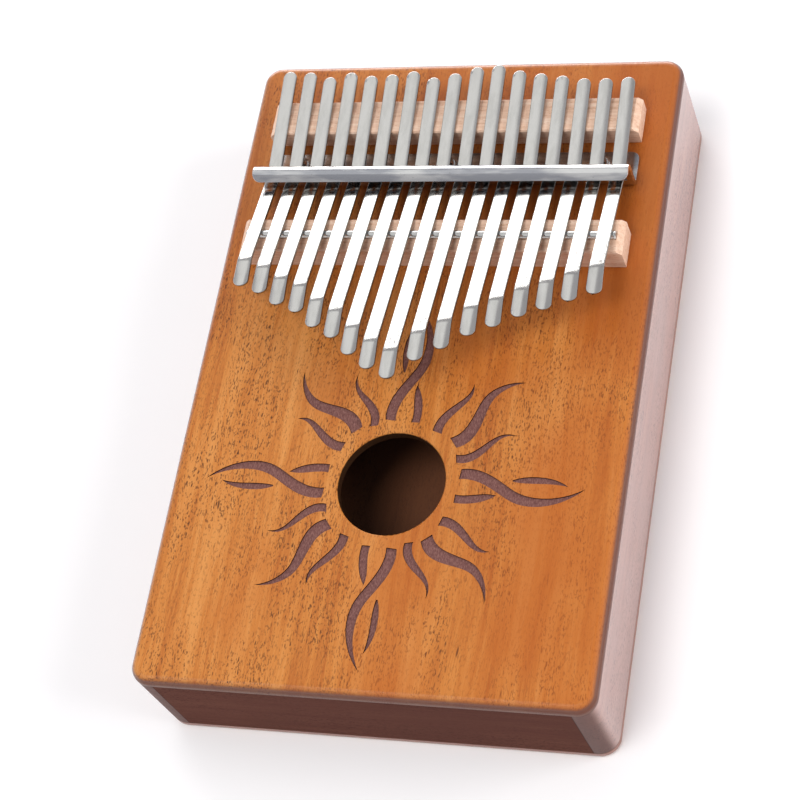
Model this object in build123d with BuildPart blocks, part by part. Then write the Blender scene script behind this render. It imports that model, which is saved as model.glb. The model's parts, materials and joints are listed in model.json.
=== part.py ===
"""A 17-key thumb piano: a hollow wooden box with sprung steel tines clamped across its soundboard.

Millimetres. X runs across the box, Y along it towards the tines' tails, and Z out of the soundboard.
The origin is the centre of the back face, so the box rests on its back at Z = 0.
"""

from build123d import *
from math import asin, atan, atan2, cos, hypot, radians, sin, tan
import os

os.makedirs("parts", exist_ok=True)

# ---- Box ----
body_length = 185.0
body_width = 120.0
body_height = 33.0
soundboard_thickness = 3.3
back_thickness = 3.0
side_thickness = 6.0
end_thickness = 6.0
plan_corner_radius = 5.0
front_edge_radius = 2.4
back_edge_radius = 1.5
sound_hole_diameter = 28.4
sound_hole_from_end = 56.9
hole_edge_radius = 0.4
vibrato_hole_diameter = 10.0
vibrato_hole_spacing = 56.0
vibrato_hole_y = 6.0
engraving_depth = 0.5

# ---- Rests, rod and clamp on the soundboard ----
rest_side_margin = 1.85
rest_depth = 10.3
rest_height = 6.0
rest_from_end = 21.7
bridge_side_margin = 2.6
bridge_depth = 9.8
bridge_height = 7.5
bridge_from_clamp = 19.8
block_edge_chamfer = 0.4
block_end_chamfer = 1.5
rod_diameter = 2.5
rod_side_margin = 0.85
rod_clearance = 0.02
bracket_side_margin = 2.1
bracket_sheet = 1.2
bracket_bend_radius = 1.0
bracket_fold_radius = 1.4
bracket_corner_radius = 2.2
flange_depth = 9.0
lip_reach = 3.4
lip_angle = 40.0
lip_clearance = 2.1
clamp_from_rest = 18.4
brace_end_gap = 4.0
brace_depth = 14.0
brace_height = 10.0

# ---- Screws ----
screw_from_bracket_end = 10.0
screw_diameter = 2.8
screw_length = 12.0
screw_head_diameter = 5.6
screw_head_height = 1.6
screw_recess_width = 0.8
screw_recess_length = 3.2
screw_recess_depth = 0.9
screw_hole_clearance = 0.2
screw_bite_clearance = 0.02

# ---- Tines ----
tine_pitch = 6.0
tine_width = 3.8
tine_thickness = 0.9
tine_clamp_drop = 3.1
tine_clamp_bend_radius = 15.0
tine_slot_side_gap = 0.3
tine_slot_top_gap = 0.09
tine_slot_depth = 1.2
tip_length = 8.0
tip_bend_radius = 6.0
tip_droop = 3.0
flex_share = 0.15
root_gap = 0.03
tine_free_lengths = [18.5, 21, 25, 27.5, 32.5, 36, 41.5, 46, 49, 43, 39, 34.5, 31.5, 28, 25.5, 22.5, 20]
tine_tail_overhangs = [8.3, 8.0, 6.4, 7.7, 6.6, 6.9, 7.7, 5.7, 6.8, 8.6, 9.1, 7.3, 6.3, 5.5, 4.6, 4.5, 4.7]

# The engraved sun has four equal quarters. Each ray is a line of (radius, bearing, half width) points
# from the hole outwards, with bearings in degrees from the quarter's own axis.
long_ray = [
    (18, 10.5, 1.4),
    (23, 7, 1.5),
    (28, 0.5, 1.45),
    (33.4, -4.8, 1.4),
    (38.5, -5.5, 1.2),
    (44.5, -3.5, 0.7),
]
long_tip = (50.5, 0.6)
inner_sliver = [(17.6, -11.5, 1.15), (21, -9.9, 1.15), (24.7, -6.9, 1.0)]
inner_tip = (28.0, -4.6)
outer_sliver = [(31.6, 3.5, 0.2), (34.5, 3.6, 0.8), (38.5, 3.4, 0.9), (42.5, 2.6, 0.6)]
outer_tip = (46.0, 1.0)
low_ray = [(17.6, 25.2, 1.15), (21.7, 22.3, 1.15), (25.5, 25.0, 0.95), (29.5, 27.4, 0.55)]
low_tip = (34.0, 24.8)
main_ray = [(18.7, 39.3, 1.7), (23.5, 39, 1.75), (28.6, 44.8, 1.45), (33.5, 48.4, 1.15), (38.2, 47.2, 0.65)]
main_tip = (42.8, 43.2)
high_ray = [(17.6, 56.4, 1.35), (21.9, 59.4, 1.2), (26.4, 57.4, 0.95), (30.2, 56.4, 0.6)]
high_tip = (33.5, 58.8)
sun_rays = [
    (long_ray, long_tip),
    (inner_sliver, inner_tip),
    (outer_sliver, outer_tip),
    (low_ray, low_tip),
    (main_ray, main_tip),
    (high_ray, high_tip),
]

# ---- Heights and places that follow from the sizes above ----
inner_width = body_width - 2 * side_thickness
frame_height = body_height - soundboard_thickness - back_thickness
soundboard_underside = body_height - soundboard_thickness
sound_hole_y = sound_hole_from_end - body_length / 2
rest_y = body_length / 2 - rest_from_end
clamp_y = rest_y - clamp_from_rest
bridge_y = clamp_y - bridge_from_clamp
rest_front_y = rest_y - rest_depth / 2
rest_back_y = rest_y + rest_depth / 2
screw_y = clamp_y + bracket_sheet / 2 + flange_depth / 2
tine_count = len(tine_free_lengths)
tine_x = [tine_pitch * (i - (tine_count - 1) / 2) for i in range(tine_count)]
tine_span = tine_pitch * (tine_count - 1) + tine_width
rest_length = tine_span + 2 * rest_side_margin
bridge_length = tine_span + 2 * bridge_side_margin
rod_length = tine_span + 2 * rod_side_margin
bracket_length = tine_span + 2 * bracket_side_margin
brace_length = inner_width - 2 * brace_end_gap
screw_spacing = bracket_length / 2 - screw_from_bracket_end
screw_x = [-screw_spacing, 0.0, screw_spacing]

# A tine is pressed down at the clamp, below the bridge's top. Its tail climbs to the rest's front edge, and
# its front climbs until its underside touches the rod.
tine_clamp_height = bridge_height - tine_clamp_drop
tail_climb = atan((rest_height - tine_clamp_height) / (rest_front_y + block_edge_chamfer - clamp_y))
rod_radius = rod_diameter / 2
rod_away = clamp_y - bridge_y
rod_above = bridge_height - tine_clamp_height
front_climb = atan2(rod_above, rod_away) + asin(rod_radius / hypot(rod_away, rod_above))
along = (-cos(front_climb), sin(front_climb))
outwards = (sin(front_climb), cos(front_climb))
rod_contact = (bridge_y + rod_radius * outwards[0], bridge_height + rod_radius * outwards[1])
clamp_bend_rise = tine_clamp_bend_radius * (1 / cos((tail_climb + front_climb) / 2) - 1)


def save(builder, name):
    builder.part.label = name
    export_step(builder.part, f"parts/{name}.step")


def above_board(point):
    """A point of the side view, with its height counted from the soundboard's face."""
    return (point[0], body_height + point[1])


def step_from(point, direction, distance):
    return (point[0] + distance * direction[0], point[1] + distance * direction[1])


# ---- Soundboard: a plate with rounded front edges, the sound hole and the engraved sun ----
def ray_outline(stations, tip):
    """The two sides of a ray, as points square to the line from one station to the next."""
    centres = [(r * cos(radians(b)), r * sin(radians(b))) for r, b, w in stations]
    centres.append((tip[0] * cos(radians(tip[1])), tip[0] * sin(radians(tip[1]))))
    left = []
    right = []
    for i, (r, b, half_width) in enumerate(stations):
        before = centres[max(i - 1, 0)]
        after = centres[i + 1]
        length = hypot(after[0] - before[0], after[1] - before[1])
        side = (-(after[1] - before[1]) / length * half_width, (after[0] - before[0]) / length * half_width)
        left.append((centres[i][0] + side[0], centres[i][1] + side[1]))
        right.append((centres[i][0] - side[0], centres[i][1] - side[1]))
    return left + [centres[-1]], right + [centres[-1]]


with BuildPart() as soundboard:
    with BuildSketch(Plane.XY.offset(soundboard_underside)):
        RectangleRounded(body_width, body_length, plan_corner_radius)
    extrude(amount=soundboard_thickness)
    fillet(soundboard.faces().sort_by(Axis.Z)[-1].edges(), front_edge_radius)
    with BuildSketch(Plane.XY.offset(soundboard_underside)):
        with Locations((0, sound_hole_y)):
            Circle(sound_hole_diameter / 2)
        with Locations(*[(x, screw_y) for x in screw_x]):
            Circle(screw_diameter / 2 + screw_hole_clearance)
    extrude(amount=soundboard_thickness, mode=Mode.SUBTRACT)
    hole_rim = soundboard.edges().filter_by(GeomType.CIRCLE).filter_by(
        lambda rim: abs(rim.radius - sound_hole_diameter / 2) < 0.01
    )
    fillet(hole_rim, hole_edge_radius)
    with BuildSketch(Plane.XY.offset(body_height)) as sun:
        with Locations((0, sound_hole_y)):
            with PolarLocations(0, 4):
                for stations, tip in sun_rays:
                    left, right = ray_outline(stations, tip)
                    with BuildSketch(mode=Mode.PRIVATE) as ray:
                        with BuildLine():
                            Spline(*left)
                            Spline(*right)
                            Line(left[0], right[0])
                        make_face()
                    add(ray.sketch)
    extrude(amount=-engraving_depth, mode=Mode.SUBTRACT)
save(soundboard, "soundboard")

# ---- Back panel: a plate with two small vibrato holes ----
with BuildPart() as back_panel:
    with BuildSketch(Plane.XY):
        RectangleRounded(body_width, body_length, plan_corner_radius)
    extrude(amount=back_thickness)
    fillet(back_panel.faces().sort_by(Axis.Z)[0].edges(), back_edge_radius)
    with BuildSketch(Plane.XY):
        with Locations((0, vibrato_hole_y)):
            with GridLocations(vibrato_hole_spacing, 1, 2, 1):
                Circle(vibrato_hole_diameter / 2)
    extrude(amount=back_thickness, mode=Mode.SUBTRACT)
    vibrato_rims = back_panel.edges().filter_by(GeomType.CIRCLE).filter_by(
        lambda rim: abs(rim.radius - vibrato_hole_diameter / 2) < 0.01
    )
    fillet(vibrato_rims, hole_edge_radius)
save(back_panel, "back_panel")

# ---- Rim: two long side boards with rounded outer corners, and two end boards butted between them ----
for name, side in (("side_left", -1), ("side_right", 1)):
    with BuildPart() as side_board:
        with BuildSketch(Plane.XY.offset(back_thickness)):
            RectangleRounded(body_width, body_length, plan_corner_radius)
            with Locations((side * (body_width - side_thickness) / 2, 0)):
                Rectangle(side_thickness, body_length, mode=Mode.INTERSECT)
        extrude(amount=frame_height)
    save(side_board, name)

for name, side in (("end_bottom", -1), ("end_top", 1)):
    with BuildPart() as end_board:
        with BuildSketch(Plane.XY.offset(back_thickness)):
            RectangleRounded(body_width, body_length, plan_corner_radius)
            with Locations((0, side * (body_length - end_thickness) / 2)):
                Rectangle(inner_width, end_thickness, mode=Mode.INTERSECT)
        extrude(amount=frame_height)
    save(end_board, name)

# ---- Clamp brace: the hidden bar glued under the soundboard that the screws bite into ----
with BuildPart() as clamp_brace:
    with BuildSketch(Plane.XY.offset(soundboard_underside)):
        with Locations((0, screw_y)):
            Rectangle(brace_length, brace_depth)
        with Locations(*[(x, screw_y) for x in screw_x]):
            Circle(screw_diameter / 2 + screw_bite_clearance, mode=Mode.SUBTRACT)
    extrude(amount=-brace_height)
save(clamp_brace, "clamp_brace")

# ---- Rear rest and front bridge: plain hardwood bars, the bridge grooved for its rod ----
def soften_block(block):
    """Cuts a block's top edges back: well back at its two ends, and just broken along its sides."""
    top_edges = block.faces().sort_by(Axis.Z)[-1].edges()
    chamfer(top_edges.filter_by(Axis.Y), block_end_chamfer)
    top_edges = block.faces().sort_by(Axis.Z)[-1].edges()
    chamfer(top_edges.filter_by(Axis.X), block_edge_chamfer)


with BuildPart() as rear_rest:
    with BuildSketch(Plane.XY.offset(body_height)):
        with Locations((0, rest_y)):
            Rectangle(rest_length, rest_depth)
    extrude(amount=rest_height)
    soften_block(rear_rest)
save(rear_rest, "rear_rest")

with BuildPart() as front_bridge:
    with BuildSketch(Plane.XY.offset(body_height)):
        with Locations((0, bridge_y)):
            Rectangle(bridge_length, bridge_depth)
    extrude(amount=bridge_height)
    soften_block(front_bridge)
    with BuildSketch(Plane.YZ):
        with Locations((bridge_y, body_height + bridge_height)):
            Circle(rod_radius + rod_clearance)
    extrude(amount=rod_length / 2 + rod_clearance, both=True, mode=Mode.SUBTRACT)
save(front_bridge, "front_bridge")

with BuildPart() as bridge_rod:
    with BuildSketch(Plane.YZ):
        with Locations((bridge_y, body_height + bridge_height)):
            Circle(rod_radius)
    extrude(amount=rod_length / 2, both=True)
    chamfer(bridge_rod.edges().filter_by(GeomType.CIRCLE), rod_radius / 5)
save(bridge_rod, "bridge_rod")

# ---- Clamp bracket: sheet steel bent into a flange, an upright slotted web and a lip over the tines ----
sheet_middle = bracket_sheet / 2
flange_back_y = clamp_y + sheet_middle + flange_depth
tine_top_under_lip = tine_clamp_height + lip_reach * tan(front_climb) + tine_thickness / cos(front_climb)
lip_end = (clamp_y - lip_reach, tine_top_under_lip + lip_clearance + sheet_middle)
fold_corner_height = lip_end[1] + lip_reach * tan(radians(lip_angle))
fold_half_turn = radians(90 + lip_angle) / 2
fold_drop = bracket_fold_radius * tan(fold_half_turn)
web_height = fold_corner_height - fold_drop + bracket_fold_radius + sheet_middle
slope_rise = sheet_middle * tan((front_climb - tail_climb) / 2)
slot_top = tine_clamp_height + clamp_bend_rise + tine_thickness + slope_rise + tine_slot_top_gap
slot_bottom = tine_clamp_height - tine_slot_depth

with BuildPart() as clamp_bracket:
    with BuildSketch(Plane.YZ):
        with BuildLine():
            sheet_line = FilletPolyline(
                above_board((flange_back_y - sheet_middle, sheet_middle)),
                above_board((clamp_y, sheet_middle)),
                above_board((clamp_y, fold_corner_height)),
                above_board(lip_end),
                radius=[bracket_bend_radius, bracket_fold_radius],
            )
            offset(sheet_line, amount=sheet_middle, kind=Kind.ARC)
        make_face()
    extrude(amount=bracket_length / 2, both=True)
    bracket_front_y = lip_end[0] - sheet_middle
    with BuildSketch(Plane.XY.offset(body_height)):
        with Locations((0, (bracket_front_y + flange_back_y) / 2)):
            RectangleRounded(bracket_length, flange_back_y - bracket_front_y, bracket_corner_radius)
    extrude(amount=web_height, mode=Mode.INTERSECT)
    with BuildSketch(Plane.XY.offset(body_height + slot_bottom)):
        with Locations(*[(x, clamp_y) for x in tine_x]):
            Rectangle(tine_width + 2 * tine_slot_side_gap, 2 * bracket_sheet)
    extrude(amount=slot_top - slot_bottom, mode=Mode.SUBTRACT)
    with BuildSketch(Plane.XY.offset(body_height)):
        with Locations(*[(x, screw_y) for x in screw_x]):
            Circle(screw_diameter / 2 + screw_hole_clearance)
    extrude(amount=bracket_sheet, mode=Mode.SUBTRACT)
save(clamp_bracket, "clamp_bracket")

# ---- Clamp screws: three pan-head wood screws through the flange and soundboard into the brace ----
screw_seat = body_height + bracket_sheet
with BuildPart() as clamp_screws:
    with BuildSketch(Plane.XY.offset(screw_seat)):
        with Locations(*[(x, screw_y) for x in screw_x]):
            Circle(screw_head_diameter / 2)
    extrude(amount=screw_head_height)
    fillet(clamp_screws.edges().group_by(Axis.Z)[-1], screw_head_height * 0.6)
    with BuildSketch(Plane.XY.offset(screw_seat)):
        with Locations(*[(x, screw_y) for x in screw_x]):
            Circle(screw_diameter / 2)
    extrude(amount=-screw_length)
    chamfer(clamp_screws.edges().group_by(Axis.Z)[0], screw_diameter, screw_diameter * 0.4)
    with BuildSketch(Plane.XY.offset(screw_seat + screw_head_height)):
        with Locations(*[(x, screw_y) for x in screw_x]):
            Rectangle(screw_recess_length, screw_recess_width)
            Rectangle(screw_recess_width, screw_recess_length)
    extrude(amount=-screw_recess_depth, mode=Mode.SUBTRACT)
save(clamp_screws, "clamp_screws")

# ---- Tines: each is one strip, modelled as a clamped shank and a blade that turns where it flexes ----
tip_direction = (-cos(radians(tip_droop)), -sin(radians(tip_droop)))
for number, (x, free_length, overhang) in enumerate(zip(tine_x, tine_free_lengths, tine_tail_overhangs), 1):
    tail_y = rest_back_y + overhang
    tail_end = (tail_y, tine_clamp_height + (tail_y - clamp_y) * tan(tail_climb))
    flex_length = flex_share * free_length
    shank_front = step_from(rod_contact, along, flex_length - tine_thickness / 2 - root_gap)
    pivot = step_from(step_from(rod_contact, along, flex_length), outwards, tine_thickness / 2)
    tip_bend = step_from(pivot, along, free_length - flex_length - tip_length)
    tip_end = step_from(tip_bend, tip_direction, tip_length - tine_thickness / 2)
    shank_span = tail_y - shank_front[0] + tine_width
    blade_front_y = tip_end[0] - tine_thickness / 2
    blade_span = pivot[0] + tine_width - blade_front_y

    with BuildPart() as shank:
        with BuildSketch(Plane.YZ.offset(x)):
            with BuildLine():
                underside = FilletPolyline(
                    above_board(tail_end),
                    above_board((clamp_y, tine_clamp_height)),
                    above_board(shank_front),
                    radius=tine_clamp_bend_radius,
                )
                offset(underside, amount=tine_thickness, side=Side.RIGHT)
            make_face()
        extrude(amount=tine_width / 2, both=True)
        with BuildSketch(Plane.XY.offset(body_height)):
            with Locations((x, tail_y - shank_span / 2)):
                SlotOverall(shank_span, tine_width, rotation=90)
        extrude(amount=body_height, mode=Mode.INTERSECT)
    save(shank, f"tine_{number:02}_shank")

    with BuildPart() as blade:
        with BuildSketch(Plane.YZ.offset(x)):
            with BuildLine():
                middle = FilletPolyline(
                    above_board(pivot),
                    above_board(tip_bend),
                    above_board(tip_end),
                    radius=tip_bend_radius,
                )
                offset(middle, amount=tine_thickness / 2, kind=Kind.ARC)
            make_face()
        extrude(amount=tine_width / 2, both=True)
        with BuildSketch(Plane.XY.offset(body_height)):
            with Locations((x, blade_front_y + blade_span / 2)):
                SlotOverall(blade_span, tine_width, rotation=90)
        extrude(amount=body_height, mode=Mode.INTERSECT)
    save(blade, f"tine_{number:02}_blade")
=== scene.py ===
import json
from math import asin, atan2, cos, hypot, pi, radians, sin, tan

import bmesh
import bpy
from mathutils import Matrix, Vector


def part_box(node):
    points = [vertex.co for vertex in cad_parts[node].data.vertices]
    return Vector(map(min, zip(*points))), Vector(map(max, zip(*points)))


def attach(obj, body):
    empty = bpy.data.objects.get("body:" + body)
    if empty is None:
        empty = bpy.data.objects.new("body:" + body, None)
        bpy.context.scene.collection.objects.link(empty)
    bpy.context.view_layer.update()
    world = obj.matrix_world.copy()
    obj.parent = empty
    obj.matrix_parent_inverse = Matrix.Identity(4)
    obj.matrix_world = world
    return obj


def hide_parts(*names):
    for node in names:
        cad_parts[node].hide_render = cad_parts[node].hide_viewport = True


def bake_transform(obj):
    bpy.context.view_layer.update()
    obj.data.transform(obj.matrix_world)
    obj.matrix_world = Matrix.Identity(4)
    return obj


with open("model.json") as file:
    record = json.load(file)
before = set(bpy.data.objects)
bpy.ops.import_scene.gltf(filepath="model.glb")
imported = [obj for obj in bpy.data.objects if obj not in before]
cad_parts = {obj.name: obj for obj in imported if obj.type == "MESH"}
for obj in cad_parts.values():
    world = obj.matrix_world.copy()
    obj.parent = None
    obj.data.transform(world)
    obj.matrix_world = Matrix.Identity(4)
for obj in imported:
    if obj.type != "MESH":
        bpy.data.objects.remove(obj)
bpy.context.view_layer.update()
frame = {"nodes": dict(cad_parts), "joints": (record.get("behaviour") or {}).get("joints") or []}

mm = 0.001

# ---- Sides and ends of the box ----
# Four boards of dark reddish mahogany: two long sides, and two end boards butted and glued between them.
# The grain runs along each board, so a side's end shows end grain beside the end board's long grain.
side_thickness = 6.0 * mm
glue_line = 0.16 * mm
inner_face_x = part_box("side_right")[1].x - side_thickness
board_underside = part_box("soundboard")[0].z
back_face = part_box("back_panel")[1].z
rim_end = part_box("side_right")[1].y


class Wire:
    """A value in a shader tree that can be written with in plain arithmetic."""

    def __init__(self, tree, socket=None):
        self.tree = tree
        self.socket = socket

    def node(self, kind, settings, inputs, output=0):
        """Adds a shader node: its settings first, then its sockets' values or links."""
        made = self.tree.nodes.new("ShaderNode" + kind)
        for name, value in settings.items():
            if name == "stops":
                while len(made.color_ramp.elements) < len(value):
                    made.color_ramp.elements.new(1.0)
                for element, (place, colour) in zip(made.color_ramp.elements, value):
                    element.position = place
                    element.color = (*colour, 1.0)
            else:
                setattr(made, name, value)
        for name, value in inputs.items():
            if isinstance(value, Wire):
                self.tree.links.new(value.socket, made.inputs[name])
            else:
                made.inputs[name].default_value = value
        return Wire(self.tree, made.outputs[output])

    def maths(self, operation, *values):
        return self.node("Math", {"operation": operation}, dict(enumerate(values)))

    def __add__(self, other):
        return self.maths("ADD", self, other)

    def __radd__(self, other):
        return self.maths("ADD", other, self)

    def __sub__(self, other):
        return self.maths("SUBTRACT", self, other)

    def __rsub__(self, other):
        return self.maths("SUBTRACT", other, self)

    def __mul__(self, other):
        return self.maths("MULTIPLY", self, other)

    def __rmul__(self, other):
        return self.maths("MULTIPLY", other, self)

    def __abs__(self):
        return self.maths("ABSOLUTE", self)

    def rises(self, low, high):
        """0 below low, 1 above high, and smooth between them; with low above high it falls instead."""
        settings = {"interpolation_type": "SMOOTHSTEP"}
        return self.node("MapRange", settings, {"Value": self, "From Min": low, "From Max": high})

    def greater(self, other):
        return self.maths("MAXIMUM", self, other)

    def axis(self, letter):
        """One of this vector's three numbers."""
        return self.node("SeparateXYZ", {}, {0: self}, "XYZ".index(letter))

    def vector(self, operation, other=(0, 0, 0), output=0):
        return self.node("VectorMath", {"operation": operation}, {0: self, 1: other}, output)

    def mixes(self, first, second):
        """This value's mix of two colours: all the first at 0, all the second at 1."""
        first, second = [c if isinstance(c, Wire) else (*c, 1.0) for c in (first, second)]
        return self.node("Mix", {"data_type": "RGBA"}, {0: self, 6: first, 7: second}, 2)

    def ramp(self, *stops):
        """A colour for each value, from stops of a value and a colour."""
        return self.node("ValToRGB", {"stops": stops}, {0: self})

    def bump(self, strength, depth):
        """The normals of a surface whose height is this value times the depth."""
        return self.node("Bump", {}, {"Strength": strength, "Distance": depth, "Height": self})

    def stretched(self, across, along, grain):
        """These coordinates in cells of the given sizes, in metres, with the grain along one axis."""
        sizes = [along if axis == grain else across for axis in "XYZ"]
        return self.vector("MULTIPLY", [1 / size for size in sizes])

    def noise(self, detail=2.0, roughness=0.5):
        """Cloudy noise of about one patch to a cell."""
        inputs = {"Vector": self, "Scale": 1.0, "Detail": detail, "Roughness": roughness}
        return self.node("TexNoise", {}, inputs)

    def spots(self, radius):
        """Soft round spots, one near each cell's own point, that are 1 at their middle."""
        distance = self.node("TexVoronoi", {"feature": "F1"}, {"Vector": self, "Scale": 1.0})
        return distance.rises(radius, radius * 0.45)


def shader(name):
    """A new material: its wires, its object coordinates and its surface shader."""
    made = bpy.data.materials.new(name)
    made.use_nodes = True
    wires = Wire(made.node_tree)
    coordinates = wires.node("TexCoord", {}, {}, 3)
    return made, coordinates, made.node_tree.nodes["Principled BSDF"]


def feed(surface, **values):
    """Sets the surface shader's sockets, whose names are written with underscores, to values or wires."""
    for name, value in values.items():
        socket = surface.inputs[name.replace("_", " ").title().replace("Ior", "IOR")]
        if isinstance(value, Wire):
            value.tree.links.new(value.socket, socket)
        else:
            socket.default_value = value


def dress(node, material):
    """Gives a CAD node its finish, through its own material slot."""
    slot = frame["nodes"][node].material_slots[0]
    slot.link = "OBJECT"
    slot.material = material


def mahogany(where, grain, light, middle, deep, pore):
    """Open-pored mahogany: its colour, the depth of its pores, and a slow mottle over it."""
    wander = where.stretched(14 * mm, 60 * mm, grain).noise(2.0)
    shift = where.node("CombineXYZ", {}, {0: (wander - 0.5) * 5 * mm, 1: (wander - 0.5) * 4 * mm})
    grain_lines = where.vector("ADD", shift)
    ribbons = grain_lines.stretched(7 * mm, 90 * mm, grain).noise(3.0, 0.55)
    streaks = grain_lines.stretched(1.3 * mm, 34 * mm, grain).noise(4.0, 0.65)
    fibres = grain_lines.stretched(0.28 * mm, 5 * mm, grain).noise(2.0, 0.6)
    mottle = where.stretched(24 * mm, 38 * mm, grain).noise(2.0, 0.5)
    tone = ribbons * 0.46 + streaks * 0.36 + fibres * 0.18
    colour = tone.ramp((0.36, deep), (0.48, middle), (0.62, light))
    speckle = grain_lines.stretched(0.36 * mm, 0.9 * mm, grain).noise(1.0).rises(0.54, 0.68)
    pores = grain_lines.stretched(0.62 * mm, 3.0 * mm, grain).spots(0.30)
    open_areas = grain_lines.stretched(9 * mm, 30 * mm, grain).noise(2.0).rises(0.40, 0.60)
    long_pores = grain_lines.stretched(2.6 * mm, 15 * mm, grain).spots(0.12)
    sparse = grain_lines.stretched(5 * mm, 22 * mm, grain).noise(1.0).rises(0.46, 0.58)
    checks = grain_lines.stretched(4.2 * mm, 70 * mm, grain).spots(0.07)
    rare = grain_lines.stretched(16 * mm, 40 * mm, grain).noise(1.0).rises(0.56, 0.64)
    depth = pores * (open_areas * 0.60 + 0.22) + speckle * (open_areas * 0.44 + 0.28)
    depth = depth.greater(long_pores * sparse * 0.9)
    depth = depth.greater(checks * rare)
    return depth.mixes(colour, pore), depth, mottle


def rim_board(name, grain, polish):
    """The rim's mahogany, dark at its glue lines and end grain, with polish from 0, matt, to 1, satin;
    the polish also sets how much painted sheen goes into the colour.
    """
    material, where, surface = shader(name)
    light = (0.40, 0.145, 0.090)
    middle = (0.31, 0.100, 0.062)
    deep = (0.20, 0.060, 0.038)
    pore = (0.07, 0.024, 0.017)
    painted_sheen = (0.75, 0.62, 0.60)
    colour, pores, mottle = mahogany(where, grain, light, middle, deep, pore)
    colour = (mottle.rises(0.4, 0.7) * 0.4).mixes(colour, (0.20, 0.062, 0.040))
    # Painted sheen: a pale pinkish veil mixed into the colour in cloudy patches, as strong as the polish,
    # standing in for the lacquer's bright reflection.
    colour = (mottle * 0.32 * polish).mixes(colour, painted_sheen)
    place = where.axis("Z")
    across = where.axis("X")
    endwise = abs(where.axis("Y"))
    at_board = place.rises(board_underside - 2 * glue_line, board_underside - glue_line)
    at_back = place.rises(back_face + 2 * glue_line, back_face + glue_line)
    at_joint = abs(abs(across) - inner_face_x).rises(1.6 * glue_line, 0.6 * glue_line)
    glue = at_board.greater(at_back).greater(at_joint)
    colour = (glue * 0.75).mixes(colour, (0.05, 0.018, 0.012))
    end_grain = endwise.rises(rim_end - 3.5 * mm, rim_end - 0.8 * mm)
    colour = (end_grain * 0.8).mixes(colour, (0.075, 0.032, 0.026))
    bump = (0 - pores).bump(0.5, 0.05 * mm)
    feed(surface, base_color=colour, roughness=pores * 0.12 + end_grain * 0.4 + 0.42, normal=bump)
    feed(surface, coat_weight=(1 - end_grain * 0.9) * polish, coat_roughness=0.22, coat_ior=1.6)
    feed(surface, specular_ior_level=0.04 + 0.55 * polish)
    return material


side_wood = rim_board("side_mahogany", "Y", 1.0)
end_wood = rim_board("end_mahogany", "X", 0.0)
for node in ("side_left", "side_right"):
    dress(node, side_wood)
for node in ("end_top", "end_bottom"):
    dress(node, end_wood)

# ---- Back panel ----
# A plain plate of the same mahogany as the front, glued to the rim, with two small vibrato holes.
# Its outside is lacquered satin, and its inside face, seen through the sound hole, is bare wood.
back_wood, where, surface = shader("back_mahogany")
back_light = (0.54, 0.215, 0.070)
back_middle = (0.42, 0.140, 0.038)
back_deep = (0.28, 0.082, 0.023)
back_pore = (0.08, 0.028, 0.012)
colour, pores, mottle = mahogany(where, "Y", back_light, back_middle, back_deep, back_pore)
colour = (mottle.rises(0.4, 0.7) * 0.45).mixes(colour, (0.34, 0.098, 0.030))
inside = where.axis("Z").rises(back_face - 0.2 * mm, back_face - 0.05 * mm)
colour = (inside * 0.85).mixes(colour, (0.125, 0.052, 0.030))
seen_edge = where.axis("Z").rises(0.3 * mm, 1.2 * mm) * (1 - inside)
colour = (seen_edge * 0.8).mixes(colour, (0.20, 0.062, 0.040))
bump = (0 - pores).bump(0.5, 0.05 * mm)
feed(surface, base_color=colour, roughness=inside * 0.3 + 0.4, normal=bump)
feed(surface, coat_weight=(1 - inside) * 0.6, coat_roughness=0.22)
dress("back_panel", back_wood)

# ---- Clamp brace ----
# A bare sawn bar of pale softwood, glued across the soundboard's underside for the clamp screws to bite.
# It is out of sight in use, so it is neither sanded nor lacquered.
brace_wood, where, surface = shader("sawn_softwood")
rings = where.stretched(2.2 * mm, 60 * mm, "X").noise(3.0, 0.6)
saw_marks = where.stretched(1.1 * mm, 1.1 * mm, "X").noise(1.0)
colour = rings.ramp((0.35, (0.44, 0.27, 0.13)), (0.5, (0.62, 0.43, 0.24)), (0.68, (0.72, 0.55, 0.34)))
bump = (rings * 0.5 + saw_marks * 0.5).bump(0.6, 0.1 * mm)
feed(surface, base_color=colour, roughness=saw_marks * 0.1 + 0.72, normal=bump)
dress("clamp_brace", brace_wood)

# ---- Soundboard ----
# A thin plate of orange mahogany under satin lacquer, with softly rounded front edges.
# The sun round the sound hole is cut by a hot tool, which leaves a rough purplish-brown floor.
board_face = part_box("soundboard")[1].z
board_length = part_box("soundboard")[1].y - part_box("soundboard")[0].y
sound_hole_y = 56.9 * mm - board_length / 2
sound_hole_radius = 14.2 * mm
sun_inside = sound_hole_radius + 1.5 * mm
sun_outside = 53.0 * mm
engraving_depth = 0.5 * mm
groove_floor = board_face - engraving_depth

board_wood, where, surface = shader("soundboard_mahogany")
board_light = (0.640, 0.270, 0.070)
board_middle = (0.535, 0.188, 0.036)
board_deep = (0.385, 0.104, 0.017)
board_pore = (0.10, 0.032, 0.010)
colour, pores, mottle = mahogany(where, "Y", board_light, board_middle, board_deep, board_pore)
x = where.axis("X")
y = where.axis("Y")
z = where.axis("Z")
# Deeper orange in cloudy patches, which is the wood's own tone, and steadily deeper towards the right,
# which is painted shade: it stands in for the lacquer sheen that lightens the left of the board.
warm = (mottle + x * 4.5).rises(0.36, 0.82)
colour = (warm * 0.7).mixes(colour, (0.44, 0.108, 0.013))
# Painted shade: a soft darker band over the rear of the board, under and around the tines, the rest and
# the bracket.
shade_under_tines = (y + x * 0.25 + (mottle - 0.5) * 30 * mm).rises(2 * mm, 34 * mm)
colour = (shade_under_tines * 0.42).mixes(colour, (0.300, 0.074, 0.014))

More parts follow.
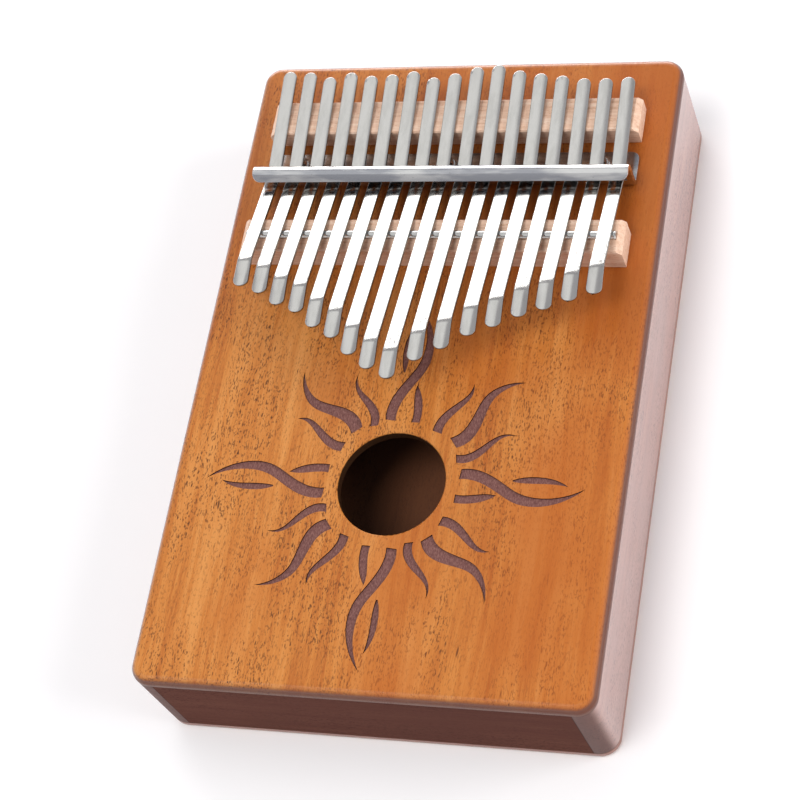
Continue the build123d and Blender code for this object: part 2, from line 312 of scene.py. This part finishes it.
from_hole = where.vector("SUBTRACT", (0, sound_hole_y, 0))
radius = from_hole.vector("MULTIPLY", (1, 1, 0)).vector("LENGTH", output=1)
in_sun = radius.rises(sun_inside - 0.3 * mm, sun_inside) * radius.rises(sun_outside + 1 * mm, sun_outside)
cut = z.rises(board_face - 0.04 * mm, board_face - 0.10 * mm) * in_sun
floor = z.rises(groove_floor + 0.08 * mm, groove_floor + 0.02 * mm) * in_sun
scorch_lines = where.stretched(0.9 * mm, 0.30 * mm, "X").noise(3.0, 0.7)
scorched = scorch_lines.ramp(
    (0.3, (0.105, 0.044, 0.040)), (0.5, (0.185, 0.082, 0.073)), (0.72, (0.290, 0.150, 0.128))
)
burnt = floor.mixes((0.030, 0.010, 0.008), scorched)
outside_sun = radius.rises(sun_outside, sun_outside + 2 * mm)
outer_edge = outside_sun * z.rises(board_face - 0.15 * mm, board_face - 1.1 * mm)
colour = (outer_edge * 0.85).mixes(colour, (0.085, 0.030, 0.026))
hole_wall = radius.rises(sound_hole_radius + 0.5 * mm, sound_hole_radius + 0.1 * mm)
hole_wall = hole_wall * z.rises(board_face - 0.2 * mm, board_face - 0.5 * mm)
colour = (hole_wall * 0.95).mixes(colour, (0.014, 0.008, 0.006))
colour = cut.mixes(colour, burnt)
height = scorch_lines * cut * 0.8 - pores * (1 - cut) * 0.35
bump = height.bump(0.7, 0.09 * mm)
feed(surface, base_color=colour, roughness=cut * 0.35 + pores * 0.15 + 0.40, normal=bump)
lacquer_bead = outside_sun * z.rises(board_face - 0.01 * mm, board_face - 0.12 * mm)
under_bead = outside_sun * z.rises(board_face - 0.9 * mm, board_face - 1.5 * mm)
coat = ((1 - cut) * 0.25 + lacquer_bead * 0.75) * (1 - under_bead * 0.9)
feed(surface, coat_weight=coat, coat_roughness=0.2, coat_ior=1.5)
feed(surface, specular_ior_level=0.22)
dress("soundboard", board_wood)

# ---- Rear rest and front bridge ----
# Two bare, sanded bars of pale beech. Their grain runs along the bar, with short warm ray flecks.
# Both are glued to the soundboard, and the bridge has a shallow groove along its top for the rod.
bar_wood, where, surface = shader("pale_beech")
lines = where.stretched(0.9 * mm, 22 * mm, "X").noise(4.0, 0.6)
flecks = where.stretched(0.36 * mm, 1.9 * mm, "X").spots(0.30)
patches = where.stretched(4 * mm, 12 * mm, "X").noise(2.0).rises(0.35, 0.65)
colour = lines.ramp((0.3, (0.62, 0.38, 0.25)), (0.5, (0.78, 0.53, 0.39)), (0.7, (0.86, 0.66, 0.53)))
colour = (patches * 0.35).mixes(colour, (0.74, 0.47, 0.33))
colour = (flecks * 0.6).mixes(colour, (0.52, 0.22, 0.085))
bump = (lines - flecks * 0.5).bump(0.5, 0.05 * mm)
feed(surface, base_color=colour, roughness=lines * 0.1 + 0.58, normal=bump)
for node in ("rear_rest", "front_bridge"):
    dress(node, bar_wood)

# ---- Bridge rod ----
# A straight length of polished steel rod that lies in the bridge's groove, with its ends just chamfered.
# Fine drawing lines run along it, and it is a little duller and darker in cloudy patches.
rod_metal, where, surface = shader("rod_steel")
drawn = where.stretched(0.10 * mm, 9 * mm, "X").noise(3.0, 0.6)
grime = where.stretched(1.5 * mm, 3 * mm, "X").noise(3.0, 0.6)
colour = grime.rises(0.4, 0.75).mixes((0.70, 0.70, 0.69), (0.56, 0.55, 0.53))
bump = drawn.bump(0.25, 0.01 * mm)
feed(surface, base_color=colour, metallic=1.0, roughness=drawn * 0.12 + grime * 0.10 + 0.06, normal=bump)
dress("bridge_rod", rod_metal)

# ---- Clamp bracket ----
# One strip of nickel-plated sheet steel, bent twice: a flange that is screwed down, an upright web with
# a slot for each tine, and a lip folded forwards over the tines. Its corners and edges are rounded.
sheet = 1.2 * mm
bend_radius = 1.0 * mm
fold_radius = 1.4 * mm
bracket_corner = 2.2 * mm
flange_depth = 9.0 * mm
lip_reach = 3.4 * mm
lip_angle = radians(40)
slot_low = 3.2 * mm
slot_high = 5.63 * mm
slot_width = 4.4 * mm
sheet_edge = 0.16 * mm


def cut_across(plate, place, direction):
    """Adds a line of edges across the plate, through a place and square to a direction."""
    everything = plate.verts[:] + plate.edges[:] + plate.faces[:]
    bmesh.ops.bisect_plane(plate, geom=everything, plane_co=place, plane_no=direction)


def flat_plate(width, length, corner, cuts):
    """A flat face from Y = 0 to its length with rounded corners, cut across at the given distances."""
    plate = bmesh.new()
    bmesh.ops.create_grid(plate, x_segments=1, y_segments=1, size=0.5)
    bmesh.ops.scale(plate, vec=(width, length, 1), verts=plate.verts)
    bmesh.ops.translate(plate, vec=(0, length / 2, 0), verts=plate.verts)
    rounding = {"affect": "VERTICES", "segments": 10, "profile": 0.5, "material": -1}
    bmesh.ops.bevel(plate, geom=plate.verts[:], offset=corner, **rounding)
    bmesh.ops.remove_doubles(plate, verts=plate.verts, dist=corner * 0.05)
    for distance in cuts:
        cut_across(plate, (0, distance, 0), (0, 1, 0))
    return plate


def thicken(plate, thickness, edge):
    """Makes the flat face a plate, centred on it, and rounds the edges of both its faces."""
    bmesh.ops.translate(plate, vec=(0, 0, -thickness / 2), verts=plate.verts)
    lifted = bmesh.ops.extrude_face_region(plate, geom=plate.faces[:])["geom"]
    lifted = [part for part in lifted if isinstance(part, bmesh.types.BMVert)]
    bmesh.ops.translate(plate, vec=(0, 0, thickness), verts=lifted)
    bmesh.ops.recalc_face_normals(plate, faces=plate.faces)
    sharp = [e for e in plate.edges if e.calc_face_angle(0) > radians(60)]
    rim = [e for e in sharp if abs(e.verts[0].co.z - e.verts[1].co.z) < edge]
    rounding = {"affect": "EDGES", "segments": 3, "profile": 0.5, "material": -1}
    bmesh.ops.bevel(plate, geom=rim, offset=edge, **rounding)


def path_runs(start, heading, runs):
    """A path in the side view: the place and heading at which each (length, turn) run starts."""
    stations = []
    y, z = start
    for length, turn in runs:
        stations.append((y, z, heading, length, turn))
        chord = 2 * length / turn * sin(turn / 2) if turn else length
        y += chord * cos(heading + turn / 2)
        z += chord * sin(heading + turn / 2)
        heading += turn
    return stations


def bend_to(plate, stations, x):
    """Wraps the flat plate's length round the path; its thickness stays square to the path."""
    for vertex in plate.verts:
        distance = vertex.co.y
        for y, z, heading, length, turn in stations:
            if distance <= length:
                break
            distance -= length
        if distance > length:
            distance = length
        turned = turn * distance / length
        chord = 2 * distance / turned * sin(turned / 2) if turned else distance
        y += chord * cos(heading + turned / 2)
        z += chord * sin(heading + turned / 2)
        facing = heading + turned - pi / 2
        vertex.co = (vertex.co.x + x, y + vertex.co.z * cos(facing), z + vertex.co.z * sin(facing))


def finished(name, plate, material):
    """Makes the mesh an object with smooth faces whose shading follows its large flats."""
    mesh = bpy.data.meshes.new(name)
    plate.to_mesh(mesh)
    plate.free()
    mesh.shade_smooth()
    piece = bpy.data.objects.new(name, mesh)
    bpy.context.scene.collection.objects.link(piece)
    piece.data.materials.append(material)
    piece.modifiers.new("flat_shading", "WEIGHTED_NORMAL")
    return piece


def bend_cuts(runs, step):
    """Distances along the runs at which a run ends or a bend has turned by one more step."""
    cuts = []
    done = 0.0
    for length, turn in runs:
        parts = max(1, round(abs(turn) / step))
        cuts += [done + length * i / parts for i in range(parts + 1)]
        done += length
    return [cut for cut in sorted(set(cuts)) if 0 < cut < done]


bracket_low, bracket_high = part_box("clamp_bracket")
clamp_y = bracket_high.y - flange_depth - sheet / 2
web_height = bracket_high.z - board_face
fold = lip_angle + pi / 2
square_trim = bend_radius
fold_trim = fold_radius * tan(fold / 2)
fold_corner = web_height - sheet / 2 - fold_radius + fold_trim
bracket_runs = [
    (flange_depth + sheet / 2 - square_trim, 0.0),
    (bend_radius * pi / 2, -pi / 2),
    (fold_corner - sheet / 2 - square_trim - fold_trim, 0.0),
    (fold_radius * fold, fold),
    (lip_reach / cos(lip_angle) + sheet / 2 - fold_trim, 0.0),
]
web_start = bracket_runs[0][0] + bracket_runs[1][0] - (sheet / 2 + bend_radius)
bracket_length = sum(length for length, turn in bracket_runs)
shank_boxes = [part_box(f"tine_{number:02}_shank") for number in range(1, 18)]
slots_x = [(low.x + high.x) / 2 for low, high in shank_boxes]
bracket_cuts = bend_cuts(bracket_runs, radians(9)) + [web_start + slot_low, web_start + slot_high]
bracket = flat_plate(bracket_high.x - bracket_low.x, bracket_length, bracket_corner, bracket_cuts)
for x in slots_x:
    for side in (-1, 1):
        cut_across(bracket, (x + side * slot_width / 2, 0, 0), (1, 0, 0))
in_slots = []
for face in bracket.faces:
    middle = face.calc_center_median()
    in_row = web_start + slot_low < middle.y < web_start + slot_high
    if in_row and any(abs(middle.x - x) < slot_width / 2 for x in slots_x):
        in_slots.append(face)
bmesh.ops.delete(bracket, geom=in_slots, context="FACES")
thicken(bracket, sheet, sheet_edge)
bend_to(bracket, path_runs((bracket_high.y, board_face + sheet / 2), pi, bracket_runs), 0.0)

plated, where, surface = shader("bracket_plating")
brushing = where.stretched(0.12 * mm, 16 * mm, "X").noise(3.0, 0.6)
smears = where.stretched(5 * mm, 22 * mm, "X").noise(3.0, 0.6)
pits = where.stretched(1.3 * mm, 1.3 * mm, "X").spots(0.12)
colour = smears.rises(0.38, 0.62).mixes((0.90, 0.90, 0.89), (0.50, 0.51, 0.55))
colour = (pits * 0.5).mixes(colour, (0.34, 0.33, 0.32))
bump = (brushing - pits).bump(0.25, 0.012 * mm)
dullness = smears * 0.16 + brushing * 0.08 + 0.05
feed(surface, base_color=colour, metallic=1.0, roughness=dullness, normal=bump)
piece = finished("clamp_bracket_bent", bracket, plated)
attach(piece, "sound_box")
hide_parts("clamp_bracket")

# ---- Clamp screws ----
# Three plated pan-head screws hold the bracket's flange down through the soundboard into the brace.
# Each head is darker low down, round its foot and in its cross recess, and the heads show faint driver
# marks.
screw_metal, where, surface = shader("screw_plating")
turning = where.stretched(0.5 * mm, 0.5 * mm, "X").noise(3.0, 0.65)
seat = board_face + sheet
recess = where.axis("Z").rises(seat + 1.3 * mm, seat + 0.8 * mm)
colour = turning.rises(0.4, 0.75).mixes((0.70, 0.70, 0.70), (0.50, 0.49, 0.47))
colour = (recess * 0.35).mixes(colour, (0.16, 0.15, 0.14))
bump = turning.bump(0.3, 0.02 * mm)
feed(surface, base_color=colour, metallic=1.0, roughness=turning * 0.2 + 0.14, normal=bump)
dress("clamp_screws", screw_metal)

# ---- Tines ----
# Seventeen strips of polished, nickel-plated spring steel, longest in the middle. Each lies on the rest,
# is held down by the bracket and rises over the rod. Its tip is hammered a little flatter and bent level.
tine_thickness = 0.9 * mm
clamp_height = 4.4 * mm
clamp_bend_radius = 15.0 * mm
tip_bend_radius = 6.0 * mm
tip_length = 8.0 * mm
tip_droop = radians(3)
tip_spread = 0.10
tip_thinning = 0.14
tip_crown = 0.20 * mm
strip_crown = 0.10 * mm
tine_edge = 0.20 * mm
rest_chamfer = 0.4 * mm
rest_low, rest_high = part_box("rear_rest")
rod_low, rod_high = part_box("bridge_rod")
rod_radius = (rod_high.z - rod_low.z) / 2
rod_away = clamp_y - (rod_low.y + rod_high.y) / 2
rod_above = (rod_low.z + rod_high.z) / 2 - board_face - clamp_height
tail_climb = atan2(rest_high.z - board_face - clamp_height, rest_low.y + rest_chamfer - clamp_y)
front_climb = atan2(rod_above, rod_away) + asin(rod_radius / hypot(rod_away, rod_above))
to_contact = (hypot(rod_away, rod_above) ** 2 - rod_radius**2) ** 0.5

tine_metal, where, surface = shader("tine_steel")
from_tip = where.node("Attribute", {"attribute_name": "from_tip"}, {}, 2)
rolled = where.stretched(0.10 * mm, 12 * mm, "Y").noise(3.0, 0.6)
cloudy = where.stretched(2.5 * mm, 9 * mm, "Y").noise(3.0, 0.6)
hammered = from_tip.rises(26 * mm, 10 * mm) * from_tip.rises(tip_length - 1 * mm, tip_length)
scuffs = where.stretched(0.35 * mm, 1.1 * mm, "Y").noise(4.0, 0.7).rises(0.50, 0.64)
worn = where.stretched(14 * mm, 14 * mm, "Y").noise(1.0).rises(0.4, 0.6)
scuffed = scuffs * hammered * (worn * 0.7 + 0.3)
colour = cloudy.rises(0.35, 0.75).mixes((0.84, 0.83, 0.80), (0.74, 0.73, 0.70))
colour = (scuffed * 0.85).mixes(colour, (0.30, 0.29, 0.28))
# Painted shade: the side faces across each strip's thickness are darkened, to stand in for the dark its
# edges show.
painted_edge_shade = where.node("Attribute", {"attribute_name": "face_height"}, {}, 2).rises(0.97, 0.80)
colour = (painted_edge_shade * 0.8).mixes(colour, (0.30, 0.30, 0.29))
bump = (rolled * 0.3 - scuffed).bump(0.4, 0.02 * mm)
dullness = rolled * 0.10 + scuffed * 0.3 + 0.08
feed(surface, base_color=colour, metallic=1.0, roughness=dullness, normal=bump)

pivots = {joint["child"]: Vector(joint["pos_m"]) for joint in frame["joints"] if joint["type"] == "hinge"}
for number in range(1, 18):
    shank = f"tine_{number:02}_shank"
    blade = f"tine_{number:02}_blade"
    shank_low, shank_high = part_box(shank)
    tine_width = shank_high.x - shank_low.x
    tip_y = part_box(blade)[0].y
    half = tine_thickness / 2
    contact_y = clamp_y - to_contact * cos(front_climb) + half * sin(front_climb)
    tip_bend_y = tip_y + half + (tip_length - half) * cos(tip_droop)
    front_length = (contact_y - tip_bend_y) / cos(front_climb)
    tail_length = (shank_high.y - clamp_y) / cos(tail_climb)
    # Lengths are along the strip's middle, whose corners stand off from those of its underside.
    clamp_turn = tail_climb + front_climb
    tip_turn = front_climb + tip_droop
    corner_shift = half * tan(clamp_turn / 2)
    clamp_trim = (clamp_bend_radius - half) * tan(clamp_turn / 2)
    tip_trim = tip_bend_radius * tan(tip_turn / 2)
    runs = [
        (tail_length - corner_shift - clamp_trim, 0.0),
        ((clamp_bend_radius - half) * clamp_turn, -clamp_turn),
        (to_contact - corner_shift - clamp_trim + front_length - tip_trim, 0.0),
        (tip_bend_radius * tip_turn, tip_turn),
        (tip_length - tip_trim, 0.0),
    ]
    strip_length = sum(length for length, turn in runs)
    even_cuts = [strip_length * i / 40 for i in range(1, 40)]
    cuts = sorted(bend_cuts(runs, radians(2)) + even_cuts)
    cuts = [cut for cut in cuts if tine_width / 2 < cut < strip_length - tine_width / 2]
    strip = flat_plate(tine_width, strip_length, tine_width / 2 * 0.98, cuts)
    for share in (-0.6, -0.3, 0.0, 0.3, 0.6):
        cut_across(strip, (share * tine_width / 2, 0, 0), (1, 0, 0))
    thicken(strip, tine_thickness, tine_edge)
    tip_distance = strip.verts.layers.float.new("from_tip")
    face_height = strip.verts.layers.float.new("face_height")
    for vertex in strip.verts:
        vertex[face_height] = abs(vertex.co.z) / half
        left = strip_length - vertex.co.y
        vertex[tip_distance] = left
        flattening = min(1.0, max(0.0, 1.25 - left / tip_length))
        vertex.co.x *= 1 + tip_spread * flattening
        vertex.co.z *= 1 - tip_thinning * flattening
        crown = strip_crown + (tip_crown - strip_crown) * flattening
        vertex.co.z -= crown * (2 * vertex.co.x / tine_width) ** 2
    tail_z = board_face + clamp_height + (shank_high.y - clamp_y) * tan(tail_climb)
    tail_end = (shank_high.y - half * sin(tail_climb), tail_z + half * cos(tail_climb))
    bend_to(strip, path_runs(tail_end, pi + tail_climb, runs), (shank_low.x + shank_high.x) / 2)
    piece = finished(f"tine_{number:02}", strip, tine_metal)
    pivot = pivots[blade]
    forwards = Vector((0, -cos(front_climb), sin(front_climb)))
    flex = (pivot.y - contact_y) / forwards.y
    pivot - forwards * flex
    pivot + forwards * flex
    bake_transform(piece)
    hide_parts(shank, blade)

# ---- Table, light and camera ----
# The box lies on its back on a plain white table, in a pale room with one bright stretch of ceiling.
# A lamp and a low window strip stand behind it, and their reflections whiten the tines and the far edge.
# Bounced light from the ceiling and from the right fills the rest, and shows in no reflection.
table_size = 6.0
table = bmesh.new()
bmesh.ops.create_grid(table, x_segments=1, y_segments=1, size=table_size / 2)
bmesh.ops.translate(table, vec=(0, 0, -0.05 * mm), verts=table.verts)
table_paint, where, surface = shader("white_table")
dust = where.stretched(40 * mm, 40 * mm, "X").noise(3.0)
feed(surface, base_color=dust.mixes((0.93, 0.93, 0.945), (0.95, 0.95, 0.965)), roughness=0.6)
table_mesh = bpy.data.meshes.new("white_table")
table.to_mesh(table_mesh)
table.free()
table_top = bpy.data.objects.new("white_table", table_mesh)
table_top.data.materials.append(table_paint)
bpy.context.scene.collection.objects.link(table_top)

room = bpy.data.worlds.new("pale_room")
room.use_nodes = True
background = room.node_tree.nodes["Background"]
heading = Wire(room.node_tree).node("TexCoord", {}, {}, 0)
ceiling_edge = (0, -sin(radians(62)), cos(radians(62)))
past_edge = heading.vector("DOT_PRODUCT", ceiling_edge, 1)
leftwards = heading.axis("X").rises(-0.12, -0.21)
upwards = heading.axis("Z")
bright_ceiling = past_edge.rises(0.0, 0.06) * leftwards * upwards.rises(0.62, 0.72)
room_colour = bright_ceiling.mixes((0.36, 0.355, 0.37), (0.76, 0.76, 0.76))
room_colour = upwards.rises(0.22, 0.12).mixes(room_colour, (0.86, 0.86, 0.87))
room.node_tree.links.new(room_colour.socket, background.inputs["Color"])
bpy.context.scene.world = room


def soft_lamp(name, towards, distance, width, height, radiance, colour):
    """A rectangular soft lamp that faces the box from a direction and looks evenly bright."""
    lamp = bpy.data.lights.new(name, "AREA")
    lamp.shape = "RECTANGLE"
    lamp.size = width
    lamp.size_y = height
    lamp.energy = radiance * pi * width * height
    lamp.color = colour
    stand = bpy.data.objects.new(name, lamp)
    stand.location = Vector(towards).normalized() * distance
    stand.rotation_euler = Vector(towards).to_track_quat("Z", "Y").to_euler()
    bpy.context.scene.collection.objects.link(stand)
    return stand


soft_lamp("back_lamp", (-0.32, 0.76, 0.53), 1.5, 1.0, 0.68, 1.8, (1.0, 0.99, 0.97))
soft_lamp("window_strip", (-0.32, 0.93, 0.17), 1.5, 1.4, 0.45, 4.5, (1.0, 0.96, 0.97))
ceiling = soft_lamp("ceiling_bounce", (-0.17, -0.31, 1.0), 2.5, 1.1, 1.1, 7.8, (1.0, 0.99, 0.97))
ceiling.visible_glossy = False
right_fill = soft_lamp("right_fill", (0.85, 0.05, 0.52), 2.0, 1.2, 1.0, 6.0, (1.0, 0.98, 0.97))
right_fill.visible_glossy = False

camera = bpy.data.cameras.new("camera")
camera.lens = 104.34
camera.sensor_width = 36.0
camera.clip_start = 0.05
tripod = bpy.data.objects.new("camera", camera)
tripod.location = (0.1883, -0.2641, 0.5369)
tripod.rotation_euler = (radians(28.22), radians(15.89), radians(9.99))
bpy.context.scene.collection.objects.link(tripod)
bpy.context.scene.camera = tripod
bpy.context.scene.view_settings.view_transform = "Standard"
